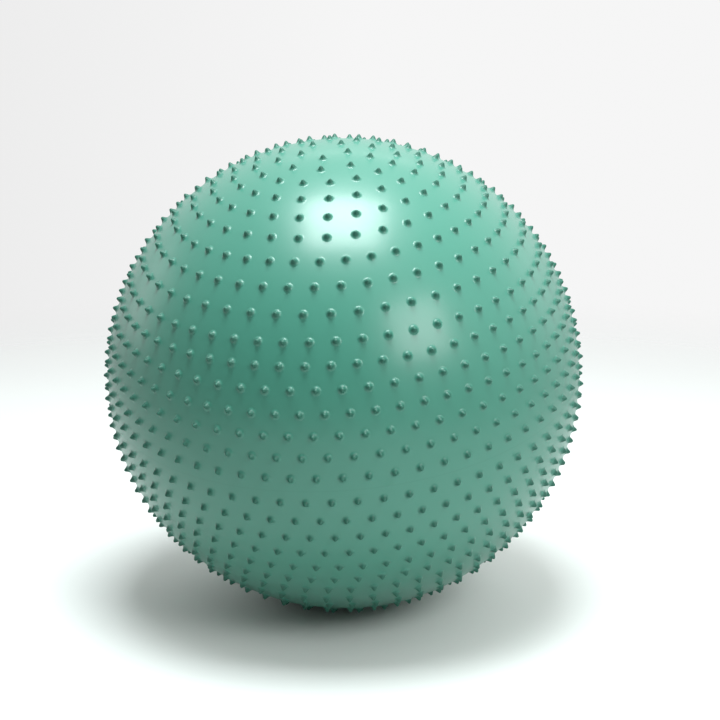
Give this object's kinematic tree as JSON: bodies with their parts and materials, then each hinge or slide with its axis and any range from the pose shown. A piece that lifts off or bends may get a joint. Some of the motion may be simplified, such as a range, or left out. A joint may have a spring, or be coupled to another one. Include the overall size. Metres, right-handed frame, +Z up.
{
  "type": "massage ball",
  "caption": "Inflatable vinyl massage ball with small pointed nubs in rings, a pressed-flat resting patch and a pull-out air stopper.",
  "frame": {"origin": "on the floor under the ball's centre, in the middle of the patch that it rests on", "axes": "+Z up, -Y the front, towards which the nub rings' pole leans, +X to the right seen from the front"},
  "size_m": [0.6628, 0.6628, 0.6553],
  "materials": {
    "skin_vinyl": "semi-gloss soft vinyl",
    "bush_vinyl": "satin soft vinyl",
    "stopper_plastic": "satin white plastic"
  },
  "bodies": {
    "ball": {"ball_shell": "skin_vinyl", "valve_seat": "bush_vinyl"},
    "stopper": {"valve_plug": "stopper_plastic"}
  },
  "joints": [
    {"name": "plug_pull", "type": "slide", "parent": "ball", "child": "stopper", "axis": [-0.0235, 0.8985, 0.4383], "range_m": [0, 0.025]}
  ]
}
